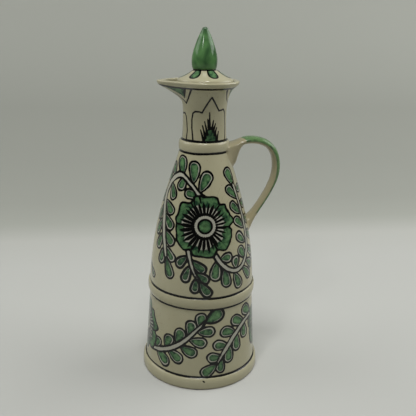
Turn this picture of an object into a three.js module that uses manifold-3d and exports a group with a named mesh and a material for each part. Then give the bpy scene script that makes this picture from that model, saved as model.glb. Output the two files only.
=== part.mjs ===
// Glazed stoneware oil dispenser: a tall conical jug with a thrown neck and a pulled
// pouring lip, a strap handle, and a domed lid with a bud-shaped knob.
// Millimetres, +Z up. The origin is on the turning axis, on the surface the jug stands on.
// The pouring lip points along -X and the handle along +X.
import * as THREE from "three";
import { mergeVertices } from "three/addons/utils/BufferGeometryUtils.js";
import Module from "manifold-3d";

const wasm = await Module();
wasm.setup();

// Foot and lower wall
const footRadius = 46.2;
const footHeight = 9.4;
const footStep = 2.5; // how far the foot band stands out from the wall above it
const footShoulder = 5.4; // height over which the foot band rounds in to the wall
const footEdgeRound = 1.8;
const floorThickness = 6;
const floorRound = 6; // inside, where the wall meets the floor
const wallThickness = 4;
const lowerWallHeight = 56;

// Raised band at the waist
const bandHeight = 8;
const bandRadius = 41.4;
const bandProud = 1.1;
const bandEdgeRound = 0.8;

// Upper wall: one long curve from the band to the collar
const upperWallHeight = 103;
const bellyLift = 45; // height over which the lower end of the curve keeps the belly full
const bellyDrawIn = 1.8;
const shoulderDrop = 30.5; // height of the straighter run below the collar
const shoulderFlare = 9.4;

// Collar, where the neck is luted on
const collarRadius = 18.5;
const collarProud = 0.5;
const collarHeight = 7.8;
const collarTopRound = 2;
const collarFootRound = 0.4;

// Neck and mouth
const neckRadius = 16.4;
const neckWall = 3.8;
const neckLength = 38.3; // from the collar to the underside of the rim
const neckWaist = 1.4; // how much the middle of the neck draws in
const neckWaistLift = 21.6; // height of that pull above the collar
const neckFlareDraw = 1; // how much the neck still draws in where it starts to flare
const neckFlareDrop = 4.6; // height of that place below the rim
const mouthRadius = 22.3;
const rimRadius = 24.7;
const rimHeight = 4;
const rimEdgeRound = 1.1;
const rimRollIn = 0.7; // the rolled underside of the rim
const rimRollRise = 0.8;
const rimWidth = 4.1;
const seatDepth = 2.2;
const seatEdgeRound = 0.6;
const seatLedge = 3.4; // width of the ledge that carries the lid
const throatDepth = 12;
const throatNarrowing = 4.2; // height over which the throat narrows to the bore

// Pouring lip
const lipReach = 35.4; // from the turning axis to the tip of the lip
const lipWall = 3.9;
const lipRise = 12.6; // height over which the lip grows out of the neck
const lipRootInset = 0.5; // the underside starts this far inside the neck's face
const lipHollowOut = 0.6; // how far from the neck the hollow of the underside pulls it
const lipHollowDrop = 7.4; // height of that pull below the rim
const channelBatter = 2; // how far the channel's walls lean in toward its floor
const lipTipRound = 0.11; // softening at the point of the lip, in radians round the axis
const lipKeelRound = 0.45; // the same for the underside, low on the neck

// Handle, placed from the foot of the collar
const handleWidth = 13;
const handleLowerWidth = 11.5;
const handleRootWidth = 17;
const handleTopThickness = 5.5;
const handleThickness = 5.8;
const handleLowerThickness = 4.6;
const handleReach = 55.4; // centre of the strap at its furthest, from the turning axis
const handleReachDrop = 15.3; // how far below the collar that place is
const handleSpringRise = 2.4; // where the strap's centre leaves the collar
const handleArch = 8.95; // rise of the curve that carries the strap outward
const handleArchOut = 21;
const handleBowUp = 22.4; // length of the curve's pull above its furthest place
const handleBowDown = 13.1;
const lowerRootDrop = 60.1;
const lowerRootRun = 16.8; // length of the straighter run down to the lower root
const lowerRootLean = 0.58; // angle of that run from upright, in radians
const upperFillet = 13.5; // clay smeared under the strap where it meets the shoulder
const upperFilletRun = 9.5;
const lowerFillet = 3.4; // the same at the lower root, on the face toward the jug
const lowerFilletRun = 15;
const lowerFilletShare = 0.6; // how much of that the outer face gets
const upperRootGap = 2; // where the upper fillet ends, out from the collar
const upperSpreadRun = 15.2; // length over which the strap widens to its upper root
const lowerSpreadRun = 18;
const strapSquareness = 0.9; // 1 gives the strap an oval section, less makes it fuller
const thickeningStart = 0.22; // places along the strap, as shares of its length
const thickeningEnd = 0.48;
const thinningStart = 0.5;
const thinningEnd = 0.75;
const narrowingStart = 0.3;
const narrowingEnd = 0.7;

// Lid
const lidClearance = 0.4; // between the lid's edge and its seat, all round
const plugClearance = 0.7;
const plugWall = 3;
const plugLength = 14;
const plugEdge = 0.7;
const hollowRound = 2;
const lidEdgeHeight = 2.2;
const lidEdgeRound = 0.9;
const lidDomeRise = 6.7;
const lidThickness = 3.4;
const lidShoulder = 2.4; // width of the rounded shoulder at the edge of the dome
const lidShoulderRise = 1.5;

// Knob
const knobRadius = 9.2;
const knobFootRadius = 8;
const knobHeight = 29.2;
const knobSwell = 2; // height over which the foot swells out
const knobBellyHeight = 6.4; // height of the widest place above the lid
const knobFullness = 6.2; // height above that place over which the bud stays full
const knobTaperRadius = 4.9; // the pull that rounds the taper below the tip
const knobTaperDrop = 6.7;
const knobTipRadius = 2.1;
const knobTipHeight = 1.3;
const knobOffset = 0.9; // how far off the lid's centre it was set, toward the pouring lip

const seatGap = 0.3; // left between pieces that meet on a curved or moving seat

// How finely curves are divided
const turnSegments = 56;
const knobSegments = 32;
const handleSteps = 36;
const handleSides = 16;
const roundSteps = 3;
const footSteps = 6;
const wallSteps = 14;
const innerWallSteps = 8;
const neckSteps = 13;
const throatSteps = 6;
const budSteps = 12;
const measureSteps = 200;

// Levels that the pieces share, each built on the one below it
const bandBottom = footHeight + lowerWallHeight;
const bandTop = bandBottom + bandHeight;
const collarBottom = bandTop + upperWallHeight;
const collarTop = collarBottom + collarHeight;
const rimBottom = collarTop + neckLength;
const rimTop = rimBottom + rimHeight;
const seatLevel = rimTop - seatDepth;
const lidUnderside = seatLevel + seatGap;
const domeFoot = lidUnderside + lidEdgeHeight;
const domeTop = domeFoot + lidDomeRise;
const boreRadius = neckRadius - neckWall;
const seatRadius = rimRadius - rimWidth;

const bandWallRadius = bandRadius - bandProud;
const footWallRadius = footRadius - footStep;
const collarWallRadius = collarRadius - collarProud;

const material = (color, roughness) => new THREE.MeshStandardMaterial({ color, roughness, metalness: 0 });
const creamGlaze = material(0xcfc3a0, 0.25);
const greenGlaze = material(0x3f7a4a, 0.18);

const quarterTurn = Math.PI / 2;

// A place in an outline: distance from the turning axis, and height
const at = (radius, height) => new THREE.Vector2(radius, height);

// Points of a quarter round about a centre, turning by a quarter from a starting angle
function quarterRound(x, y, radius, start, turn = quarterTurn) {
  const clockwise = turn < 0;
  return new THREE.EllipseCurve(x, y, radius, radius, start, start + turn, clockwise).getPoints(roundSteps);
}

// The long curve of the upper wall, from the band to the collar, as radius and height
const upperWall = new THREE.CubicBezierCurve(
  at(bandWallRadius, bandTop),
  at(bandWallRadius - bellyDrawIn, bandTop + bellyLift),
  at(collarWallRadius + shoulderFlare, collarBottom - shoulderDrop),
  at(collarWallRadius, collarBottom),
);

// The outside of the neck, from the collar to the underside of the rim
const neckWallCurve = new THREE.CubicBezierCurve(
  at(neckRadius, collarTop),
  at(neckRadius - neckWaist, collarTop + neckWaistLift),
  at(neckRadius - neckFlareDraw, rimBottom - neckFlareDrop),
  at(mouthRadius, rimBottom),
);

// A curve's radius at a height, found between close points along it
function radiusAt(curve, height) {
  const points = curve.getPoints(measureSteps);
  const next = points.findIndex((point) => point.y >= height);
  if (next <= 0) return next === 0 ? points[0].x : points[points.length - 1].x;
  const low = points[next - 1];
  const high = points[next];
  return THREE.MathUtils.mapLinear(height, low.y, high.y, low.x, high.x);
}

// The outline of the outside from the bottom to the top of the collar
function outerProfile() {
  const footShoulderCurve = new THREE.EllipseCurve(
    footWallRadius, footHeight - footShoulder, footStep, footShoulder, 0, quarterTurn,
  );
  const band = bandRadius - bandEdgeRound;
  const collarFoot = collarRadius - collarFootRound;
  const collar = collarRadius - collarTopRound;
  return [
    ...quarterRound(footRadius - footEdgeRound, footEdgeRound, footEdgeRound, -quarterTurn),
    ...footShoulderCurve.getPoints(footSteps),
    at(bandWallRadius, bandBottom),
    ...quarterRound(band, bandBottom + bandEdgeRound, bandEdgeRound, -quarterTurn),
    ...quarterRound(band, bandTop - bandEdgeRound, bandEdgeRound, 0),
    ...upperWall.getPoints(wallSteps),
    ...quarterRound(collarFoot, collarBottom + collarFootRound, collarFootRound, -quarterTurn),
    ...quarterRound(collar, collarTop - collarTopRound, collarTopRound, 0),
  ];
}

// A solid of revolution about Z from a profile of radius and height
function turned(profile, segments = turnSegments) {
  return new THREE.LatheGeometry(profile, segments).rotateX(quarterTurn);
}

// The jug's wall: outside, top of the collar, then the inside down to the floor
function bodyGeometry() {
  const inside = upperWall
    .getPoints(innerWallSteps)
    .reverse()
    .map((point) => at(Math.max(point.x - wallThickness, boreRadius), point.y));
  const floorEdge = footWallRadius - wallThickness - floorRound;
  return turned([
    at(0, 0),
    ...outerProfile(),
    at(boreRadius, collarTop),
    ...inside,
    ...quarterRound(floorEdge, floorThickness + floorRound, floorRound, 0, -quarterTurn),
    at(0, floorThickness),
  ]);
}

// A surface on rings of points, from the triangles given as places in the list of those points
function surface(rings, index) {
  const positions = rings.flat().flatMap((point) => [point.x, point.y, point.z]);
  const geometry = new THREE.BufferGeometry();
  geometry.setAttribute("position", new THREE.Float32BufferAttribute(positions, 3));
  geometry.setIndex(index);
  return geometry;
}

// Closed surface through rings of points, the last joined to the first
function loftedLoop(rings) {
  const count = rings[0].length;
  const index = [];
  rings.forEach((ring, r) => {
    const next = (r + 1) % rings.length;
    for (let i = 0; i < count; i++) {
      const j = (i + 1) % count;
      index.push(r * count + i, r * count + j, next * count + j);
      index.push(r * count + i, next * count + j, next * count + i);
    }
  });
  return surface(rings, index);
}

// A level ring that is round except where straight tangents run out to the point of the lip
function beakedRing(radius, reach, height, softening = lipTipRound) {
  const points = [];
  const spread = reach > radius ? Math.acos(radius / reach) + softening : 0;
  for (let i = 0; i < turnSegments; i++) {
    const angle = (2 * Math.PI * i) / turnSegments;
    const fromLip = Math.hypot(Math.PI - angle, softening);
    const distance = fromLip < spread ? radius / Math.cos(spread - fromLip) : radius;
    points.push(new THREE.Vector3(distance * Math.cos(angle), distance * Math.sin(angle), height));
  }
  return points;
}

// The line of the lip's underside, from the neck out to the rim
const lipOverhang = lipReach - rimRadius;
const lipUnderside = new THREE.QuadraticBezierCurve(
  at(neckRadius - lipRootInset, rimBottom - lipRise),
  at(neckRadius + lipHollowOut, rimBottom - lipHollowDrop),
  at(mouthRadius + lipOverhang, rimBottom),
);

// The neck's outside, which turns from round at the collar to beaked at the rim
function neckOutside() {
  return neckWallCurve.getSpacedPoints(neckSteps).map((point) => {
    const reach = Math.max(point.x, radiusAt(lipUnderside, point.y));
    const up = THREE.MathUtils.clamp((point.y - rimBottom + lipRise) / lipRise, 0, 1);
    return beakedRing(point.x, reach, point.y, THREE.MathUtils.lerp(lipKeelRound, lipTipRound, up));
  });
}

function rimOutside() {
  const roll = new THREE.QuadraticBezierCurve(
    at(mouthRadius, rimBottom),
    at(rimRadius - rimRollIn, rimBottom + rimRollRise),
    at(rimRadius, rimTop - rimEdgeRound),
  );
  return [
    ...roll.getPoints(roundSteps).slice(1, -1),
    ...quarterRound(rimRadius - rimEdgeRound, rimTop - rimEdgeRound, rimEdgeRound, 0),
  ].map((point) => beakedRing(point.x, point.x + lipOverhang, point.y));
}

// The mouth's inside: the seat of the lid, and the channel that leads from the throat to the lip
function mouthInside() {
  const channelReach = lipReach - lipWall - seatRadius;
  const seat = [
    at(seatRadius + seatEdgeRound, rimTop), at(seatRadius, rimTop - seatEdgeRound), at(seatRadius, seatLevel),
  ];
  const throat = new THREE.QuadraticBezierCurve(
    at(seatRadius - seatLedge, seatLevel),
    at(boreRadius, seatLevel - throatNarrowing),
    at(boreRadius, seatLevel - throatDepth),
  );
  const floorReach = channelReach + seatLedge - channelBatter;
  return [
    ...seat.map((point) => beakedRing(point.x, point.x + channelReach, point.y)),
    ...throat.getPoints(throatSteps).map((point, i) => {
      const open = Math.cos(Math.min(1, i / (throatSteps - 1)) * quarterTurn);
      return beakedRing(point.x, point.x + floorReach * open, point.y);
    }),
  ];
}

function neckGeometry() {
  const bore = beakedRing(boreRadius, boreRadius, collarTop);
  return loftedLoop([...neckOutside(), ...rimOutside(), ...mouthInside(), bore]);
}

// The strap's centre line in the XZ plane: out from the collar, over, and down to the wall
function handlePath() {
  const point = (out, height) => new THREE.Vector3(out, 0, height);
  const reachLevel = collarBottom - handleReachDrop;
  const springLevel = collarBottom + handleSpringRise;
  const rootLevel = collarBottom - lowerRootDrop;
  const rootRadius = radiusAt(upperWall, rootLevel) - wallThickness / 2;
  const path = new THREE.CurvePath();
  path.add(new THREE.CubicBezierCurve3(
    point(collarWallRadius - wallThickness, springLevel),
    point(collarWallRadius + handleArchOut, springLevel + handleArch),
    point(handleReach, reachLevel + handleBowUp),
    point(handleReach, reachLevel),
  ));
  path.add(new THREE.CubicBezierCurve3(
    point(handleReach, reachLevel),
    point(handleReach, reachLevel - handleBowDown),
    point(
      rootRadius + lowerRootRun * Math.sin(lowerRootLean),
      rootLevel + lowerRootRun * Math.cos(lowerRootLean),
    ),
    point(rootRadius, rootLevel),
  ));
  return path;
}

// The strap is thin over the arch, thickest at its furthest place and thinner again below
function strapThickness(share) {
  const out = THREE.MathUtils.smoothstep(share, thickeningStart, thickeningEnd);
  const down = THREE.MathUtils.smoothstep(share, thinningStart, thinningEnd);
  const upper = THREE.MathUtils.lerp(handleTopThickness, handleThickness, out);
  return THREE.MathUtils.lerp(upper, handleLowerThickness, down);
}

// Extra clay at a root, by the distance still to go to that root
function fillet(depth, run, distance) {
  return depth * Math.max(0, 1 - distance / run) ** 2;
}

function strapWidth(share, fromUpper, fromLower) {
  const spread = fillet(1, upperSpreadRun, fromUpper) + fillet(1, lowerSpreadRun, fromLower);
  const down = THREE.MathUtils.smoothstep(share, narrowingStart, narrowingEnd);
  const width = THREE.MathUtils.lerp(handleWidth, handleLowerWidth, down);
  return width + (handleRootWidth - width) * Math.min(1, spread);
}

// One cross-section of the strap, across its centre line
function strapRing(path, share) {
  const centre = path.getPointAt(share);
  const tangent = path.getTangentAt(share);
  const fromUpper = Math.max(0, centre.x - collarRadius - upperRootGap);
  const fromLower = (1 - share) * path.getLength();
  const lower = fillet(lowerFillet, lowerFilletRun, fromLower);
  const under = share < 1 / 2 ? fillet(upperFillet, upperFilletRun, fromUpper) : lower;
  const halfThickness = strapThickness(share) / 2;
  const halfWidth = strapWidth(share, fromUpper, fromLower) / 2;
  const squared = (value) => Math.sign(value) * Math.abs(value) ** strapSquareness;
  const ring = [];
  for (let i = 0; i < handleSides; i++) {
    const angle = (2 * Math.PI * i) / handleSides;
    const side = squared(Math.sin(angle));
    const out = side * (halfThickness + (side > 0 ? lowerFilletShare * lower : under));
    const across = squared(Math.cos(angle)) * halfWidth;
    ring.push(new THREE.Vector3(centre.x - tangent.z * out, across, centre.z + tangent.x * out));
  }
  return ring;
}

// Closed surface through rings of points, with a flat face over each end
function cappedLoft(rings) {
  const count = rings[0].length;
  const last = (rings.length - 1) * count;
  const index = [];
  for (let here = 0; here < last; here += count) {
    const next = here + count;
    for (let i = 0; i < count; i++) {
      const j = (i + 1) % count;
      index.push(here + i, here + j, next + j, here + i, next + j, next + i);
    }
  }
  for (let i = 1; i < count - 1; i++) {
    index.push(0, i + 1, i);
    index.push(last, last + i, last + i + 1);
  }
  return surface(rings, index);
}

function handleGeometry() {
  const path = handlePath();
  const rings = [];
  for (let s = 0; s <= handleSteps; s++) rings.push(strapRing(path, s / handleSteps));
  const wall = outerProfile().map((point) => at(point.x + seatGap, point.y));
  const jugSpace = turned([at(0, 0), ...wall, at(0, collarTop)]);
  return fromSolid(largestPiece(solidOf(cappedLoft(rings)).subtract(solidOf(jugSpace))));
}

// The lid: a dome that rests on the seat and a hollow plug that keeps it in the neck
function lidGeometry() {
  const edgeRadius = seatRadius - lidClearance;
  const plugRadius = boreRadius - plugClearance;
  const plugBottom = lidUnderside - plugLength;
  const hollowRadius = plugRadius - plugWall;
  const ceiling = domeTop - lidThickness;
  const hollowEdge = hollowRadius - hollowRound;
  const shoulder = new THREE.QuadraticBezierCurve(
    at(edgeRadius, domeFoot - lidEdgeRound),
    at(edgeRadius, domeFoot + lidEdgeRound),
    at(edgeRadius - lidShoulder, domeFoot + lidShoulderRise),
  );
  return turned([
    at(0, ceiling),
    ...quarterRound(hollowEdge, ceiling - hollowRound, hollowRound, quarterTurn, -quarterTurn),
    at(hollowRadius, plugBottom + plugEdge),
    at(hollowRadius + plugEdge, plugBottom),
    at(plugRadius - plugEdge, plugBottom),
    at(plugRadius, plugBottom + plugEdge),
    at(plugRadius, lidUnderside),
    at(edgeRadius - plugEdge, lidUnderside),
    at(edgeRadius, lidUnderside + plugEdge),
    ...shoulder.getPoints(roundSteps),
    at(knobFootRadius + knobOffset, domeTop),
    at(0, domeTop),
  ]);
}

// The bud: swells just above its foot, then tapers to a blunt point
function knobGeometry() {
  const tip = domeTop + knobHeight;
  const belly = domeTop + knobBellyHeight;
  const swell = new THREE.QuadraticBezierCurve(
    at(knobFootRadius, domeTop),
    at(knobRadius, domeTop + knobSwell),
    at(knobRadius, belly),
  );
  const taper = new THREE.CubicBezierCurve(
    at(knobRadius, belly),
    at(knobRadius, belly + knobFullness),
    at(knobTaperRadius, tip - knobTaperDrop),
    at(knobTipRadius, tip - knobTipHeight),
  );
  const point = new THREE.EllipseCurve(0, tip - knobTipHeight, knobTipRadius, knobTipHeight, 0, quarterTurn);
  const outline = [at(0, domeTop), ...swell.getPoints(roundSteps), ...taper.getPoints(budSteps).slice(1)];
  outline.push(...point.getPoints(roundSteps).slice(1, -1), at(0, tip));
  return turned(outline, knobSegments).translate(-knobOffset, 0, 0);
}

function solidOf(geometry) {
  const bare = geometry.clone();
  bare.deleteAttribute("normal");
  bare.deleteAttribute("uv");
  const merged = mergeVertices(bare, 1e-3);
  return new wasm.Manifold(
    new wasm.Mesh({
      numProp: 3,
      vertProperties: merged.attributes.position.array,
      triVerts: new Uint32Array(merged.index.array),
    }),
  );
}

function largestPiece(solid) {
  return solid.decompose().sort((a, b) => b.volume() - a.volume())[0];
}

function fromSolid(solid) {
  const mesh = solid.getMesh();
  const geometry = new THREE.BufferGeometry();
  geometry.setAttribute("position", new THREE.BufferAttribute(mesh.vertProperties, 3));
  geometry.setIndex(new THREE.BufferAttribute(mesh.triVerts, 1));
  geometry.computeVertexNormals();
  return geometry;
}

function piece(name, geometry, finish) {
  const mesh = new THREE.Mesh(geometry, finish);
  mesh.name = name;
  return mesh;
}

const dispenser = new THREE.Group();
dispenser.add(
  piece("jug_body", bodyGeometry(), creamGlaze),
  piece("neck_with_pouring_lip", neckGeometry(), creamGlaze),
  piece("strap_handle", handleGeometry(), creamGlaze),
  piece("lid", lidGeometry(), creamGlaze),
  piece("lid_knob", knobGeometry(), greenGlaze),
);

export default dispenser;
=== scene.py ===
# %% [markdown]
# # A painted oil dispenser
#
# The object is a tall pottery jug for oil: a thrown body and neck with a pulled pouring lip, a strap
# handle and a loose lid with a bud for a knob. The clay is covered with cream slip, painted with green
# and black, and glazed clear. The frame holds its true shapes as plain solids, and this lesson gives
# them their smooth skins and their painting.

# %% The frame
import math

import bmesh
import bpy
import numpy as np
from mathutils import Matrix, Vector
from mathutils.bvhtree import BVHTree


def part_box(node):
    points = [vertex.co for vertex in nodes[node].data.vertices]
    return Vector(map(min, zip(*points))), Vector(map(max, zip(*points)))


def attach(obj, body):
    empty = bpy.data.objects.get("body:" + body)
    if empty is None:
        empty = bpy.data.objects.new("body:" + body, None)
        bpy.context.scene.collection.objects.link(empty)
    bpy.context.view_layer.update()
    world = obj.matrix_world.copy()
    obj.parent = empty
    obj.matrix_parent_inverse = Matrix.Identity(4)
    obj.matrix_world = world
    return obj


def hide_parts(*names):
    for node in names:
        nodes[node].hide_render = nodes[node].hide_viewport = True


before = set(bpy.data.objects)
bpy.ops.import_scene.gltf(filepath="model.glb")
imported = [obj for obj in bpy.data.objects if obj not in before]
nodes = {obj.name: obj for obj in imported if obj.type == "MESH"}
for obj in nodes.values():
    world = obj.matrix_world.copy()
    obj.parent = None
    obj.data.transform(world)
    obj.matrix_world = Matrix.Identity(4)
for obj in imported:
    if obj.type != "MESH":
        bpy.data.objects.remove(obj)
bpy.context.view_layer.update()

MM = 0.001
print("pieces in the frame:", ", ".join(sorted(nodes)))

# %% [markdown]
# ## Picking up a turned piece
#
# A potter's wheel makes a form that is the same all round, so half of its outline tells everything. The
# outline is already in the frame: it is the chain of edges that lies in the plane through the axis. It
# could be typed in again, but then it would have to be kept in step by hand. Walking along those edges
# gives the same outline with nothing to keep in step.

# %% Walk along a turned piece's outline
IN_PLANE = 0.005  # a point this close to the plane through the axis lies in it, in millimetres
ON_AXIS = 0.02


def outline_of(solid):
    """The half outline of a turned solid in millimetres, from its lowest point on its own axis."""
    across = [v.co.x for v in solid.data.vertices]
    axis = Vector(((min(across) + max(across)) / 2, 0, 0))
    points = {v.index: (v.co - axis) / MM for v in solid.data.vertices}
    links = {}
    for edge in solid.data.edges:
        ends = [points[i] for i in edge.vertices]
        if all(abs(p.y) < IN_PLANE and p.x > -IN_PLANE for p in ends):
            a, b = [(round(p.x, 2), round(p.z, 2)) for p in ends]
            if a != b:
                links.setdefault(a, set()).add(b)
                links.setdefault(b, set()).add(a)
    on_axis = sorted((p for p in links if p[0] < ON_AXIS and len(links[p]) == 1), key=lambda p: p[1])
    walk = [on_axis[0]]
    while True:
        onward = [p for p in links[walk[-1]] if p not in walk[-2:]]
        if not onward:
            return np.array(walk)
        walk.append(onward[0])


body_outline = outline_of(nodes["jug_body"])
lid_outline = outline_of(nodes["lid"])
knob_outline = outline_of(nodes["lid_knob"])
print("corners: body", len(body_outline), "lid", len(lid_outline), "knob", len(knob_outline))


# %% [markdown]
# The frame's long curves are short straight chords, which would show as bands in a glossy glaze. So the
# outline is broken at its real corners, and a smooth curve is run through the points in between. The
# steps are short where the brush will paint, because the painting is stored on the mesh's own points.

# %% Ease the outline between its corners
STRAIGHT = 20  # a leg longer than this many millimetres is meant to be straight
CORNER = math.radians(26)  # a sharper turn is a real corner


def eased(outline, step_at):
    """The outline again, smooth between corners, in steps as long as step_at(start, end) says."""
    legs = np.diff(outline, axis=0)
    lengths = np.linalg.norm(legs, axis=1)
    heading = np.arctan2(legs[:, 1], legs[:, 0])
    turn = np.abs((np.diff(heading) + np.pi) % (2 * np.pi) - np.pi)
    breaks = {0, len(outline) - 1} | {i + 1 for i, angle in enumerate(turn) if angle > CORNER}
    breaks = sorted(breaks | {end for i in np.flatnonzero(lengths > STRAIGHT) for end in (i, i + 1)})
    smooth = [outline[0]]
    for first, last in zip(breaks, breaks[1:]):
        run = outline[first:last + 1]
        along = np.concatenate([[0], np.cumsum(lengths[first:last])])
        slope = np.gradient(run, along, axis=0, edge_order=2 if len(run) > 2 else 1)
        for i in range(len(run) - 1):
            steps = max(1, round(lengths[first + i] / step_at(run[i], run[i + 1])))
            bends = slope[i] * lengths[first + i], slope[i + 1] * lengths[first + i]
            smooth.extend(bent(run[i], run[i + 1], *bends, (np.arange(steps) + 1) / steps))
    return np.clip(smooth, outline.min(axis=0), outline.max(axis=0))  # a curve may swell past a corner


def bent(start, end, leaving, arriving, shares):
    """Places on a smooth curve from start to end, which leaves and arrives as the two bends say."""
    t = np.reshape(shares, (-1, 1))
    from_start, from_end = 2 * t**3 - 3 * t**2 + 1, 3 * t**2 - 2 * t**3
    return from_start * start + from_end * end + (t**3 - 2 * t**2 + t) * leaving + (t**3 - t**2) * arriving


# %% Throw a piece on the wheel
SHADED_SMOOTH = math.radians(50)  # a fold sharper than this stays crisp
STITCH = 0.01 * MM  # points closer than this are one point


def thrown(name, outline, columns, off_centre=0.0):
    """A point is drawn out along the outline, and the line is spun round the axis."""
    bpy.ops.object.select_all(action="DESELECT")
    bpy.ops.mesh.primitive_plane_add(size=MM)
    piece = bpy.context.object
    piece.name = name
    bpy.ops.object.mode_set(mode="EDIT")
    bpy.ops.mesh.merge(type="CENTER")
    bpy.ops.transform.translate(value=(outline[0][0] * MM, 0, outline[0][1] * MM))
    for across, up in np.diff(outline, axis=0) * MM:
        bpy.ops.mesh.extrude_region_move(TRANSFORM_OT_translate={"value": (across, 0, up)})
    bpy.ops.mesh.select_all(action="SELECT")
    bpy.ops.mesh.spin(steps=columns, angle=2 * math.pi, center=(0, 0, 0), axis=(0, 0, 1))
    bpy.ops.mesh.remove_doubles(threshold=STITCH)
    bpy.ops.mesh.normals_make_consistent(inside=False)
    bpy.ops.mesh.select_all(action="SELECT")
    bpy.ops.transform.translate(value=(off_centre * MM, 0, 0))
    bpy.ops.object.mode_set(mode="OBJECT")
    bpy.ops.object.shade_smooth_by_angle(angle=SHADED_SMOOTH)
    print(name, "has", len(piece.data.polygons), "faces")
    return piece


# %% The jug's body
PAINT_STEP = 0.74  # millimetres between points under the brush
HIDDEN_STEP = 6  # and between those of the inside and the underside, which nobody paints
BODY_COLUMNS = 320  # points round the body, about as close as the steps, within 200,000 triangles

body_points = eased(body_outline, lambda a, b: PAINT_STEP if b[1] > a[1] else HIDDEN_STEP)
body = thrown("body_thrown", body_points, columns=BODY_COLUMNS)

# %% The lid
LID_PAINT_STEP, LID_PLAIN_STEP = 0.5, 1.5

lid_top_start = int(np.argmax(lid_outline[:, 0] >= lid_outline[:, 0].max() - 0.01))
lid_face_level = lid_outline[lid_top_start][1]


def lid_step(start, end):
    """Short steps over the dome, where the outline runs inward above the flange."""
    return LID_PAINT_STEP if end[0] < start[0] and start[1] > lid_face_level else LID_PLAIN_STEP


lid = thrown("lid_thrown", eased(lid_outline, lid_step), columns=200)

# %% The knob, which sits a little off the lid's centre
knob_low, knob_high = (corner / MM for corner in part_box("lid_knob"))
knob_middle = (knob_low + knob_high) / 2
knob = thrown("knob_bud", eased(knob_outline, lambda a, b: 0.6), columns=120, off_centre=knob_middle[0])


# %% [markdown]
# ## Pieces that are not round
#
# The neck's lip is pulled out of true with a wet finger, and the handle is a strap. Their solids come as
# loose triangles with the right corners. A copy is stitched together, its triangles are paired into
# four-sided faces, and subdivision makes the skin smooth between the corners.

# %% Copy a solid and make its skin smooth
CREASED = math.radians(60)  # a sharper edge is creased
PAIRED = {"face_threshold": math.radians(60), "shape_threshold": math.radians(70)}


def smooth_skin(solid, name, levels):
    """A stitched copy of a solid, subdivided so that it reads as wet clay. Sharp corners stay sharp."""
    skin = bpy.data.objects.new(name, solid.data.copy())
    bpy.context.collection.objects.link(skin)
    bpy.ops.object.select_all(action="DESELECT")
    skin.select_set(True)
    bpy.context.view_layer.objects.active = skin
    skin.data.materials.clear()
    bpy.ops.object.mode_set(mode="EDIT")
    bpy.ops.mesh.select_all(action="SELECT")
    bpy.ops.mesh.remove_doubles(threshold=STITCH)
    bpy.ops.mesh.tris_convert_to_quads(**PAIRED)
    bpy.ops.mesh.select_all(action="DESELECT")
    bpy.ops.mesh.select_mode(type="EDGE")
    bpy.ops.mesh.edges_select_sharp(sharpness=CREASED)
    bpy.ops.transform.edge_crease(value=1)
    bpy.ops.object.mode_set(mode="OBJECT")
    bpy.ops.mesh.customdata_custom_splitnormals_clear()
    smooth = skin.modifiers.new("smooth", "SUBSURF")
    smooth.levels = smooth.render_levels = levels
    bpy.ops.object.modifier_apply(modifier=smooth.name)
    bpy.ops.object.shade_smooth_by_angle(angle=SHADED_SMOOTH)
    print(name, "has", len(skin.data.polygons), "faces")
    return skin


neck = smooth_skin(nodes["neck_with_pouring_lip"], "neck_and_lip", levels=2)
handle = smooth_skin(nodes["strap_handle"], "handle_strap", levels=3)

# %% [markdown]
# ## Luting the handle
#
# A potter sticks the soft strap on with slip, presses its top end down to the collar, smears both ends
# over the wall with a thumb, and wipes the upper root round with a wet sponge, so no edge is left. The
# solid stops a hair short of the wall with a hard edge. Every point near the wall is pushed outward
# along it, the more the closer it is, and the last of them goes just under the wall's skin. That gives
# the hollow curve of a smeared joint. The sponge is Blender's own smoothing of chosen points.

# %% Press the strap's top end down, and smear both its ends
MID_HANDLE = 150.0  # the height in millimetres that parts the upper root from the lower
PRESSED, PRESS_START, PRESS_LENGTH = 2.1, 33.0, 12.0  # how deep, from how far out, and over what length
UPPER_SMEAR, LOWER_SMEAR = 3.6, 1.5  # how far up the strap the smear begins
SMEAR_SHAPE = 2.6  # higher is a thinner, wider skirt
FACES_ASIDE = 0.3  # a point whose normal leans along the wall less than this stays where it is
SPREAD_BELOW = 0.6  # how much less clay spreads below the upper root than beside it
UNDER_SKIN = 0.12


def press(place, normal):
    """Push a point of the strap's top end down to the collar, the outer skin more than the inner."""
    share = min((PRESS_START - place.x) / PRESS_LENGTH, 1)
    place.z -= PRESSED * share**2 * (3 - 2 * share) * (1 + normal.z) / 2


def smeared(place, normal, facing, reach, close, upper):
    """A point run out along the wall that faces it. Nothing is spread above the upper root."""
    aside = normal - normal.dot(facing) * facing
    if aside.length <= FACES_ASIDE:
        return place
    aside.normalize()
    spread = 1 - max(aside.z, -SPREAD_BELOW * aside.z) if upper else 1
    return place + aside * reach * spread * max(close, 0) ** SMEAR_SHAPE


# %% Wipe the upper root with a sponge
WIPED, WIPES = 0.9, 24  # what is further than this from the wall is rounded, in so many strokes


def sponge(strap, soft):
    """Round off the chosen points and leave the others where they are."""
    bpy.ops.object.select_all(action="DESELECT")
    strap.select_set(True)
    bpy.context.view_layer.objects.active = strap
    bpy.ops.object.mode_set(mode="EDIT")
    bpy.ops.mesh.select_mode(type="VERT")
    bpy.ops.mesh.select_all(action="DESELECT")
    bpy.ops.object.mode_set(mode="OBJECT")
    for index in soft:
        strap.data.vertices[index].select = True
    bpy.ops.object.mode_set(mode="EDIT")
    bpy.ops.mesh.vertices_smooth(factor=0.5, repeat=WIPES)
    bpy.ops.object.mode_set(mode="OBJECT")


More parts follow.
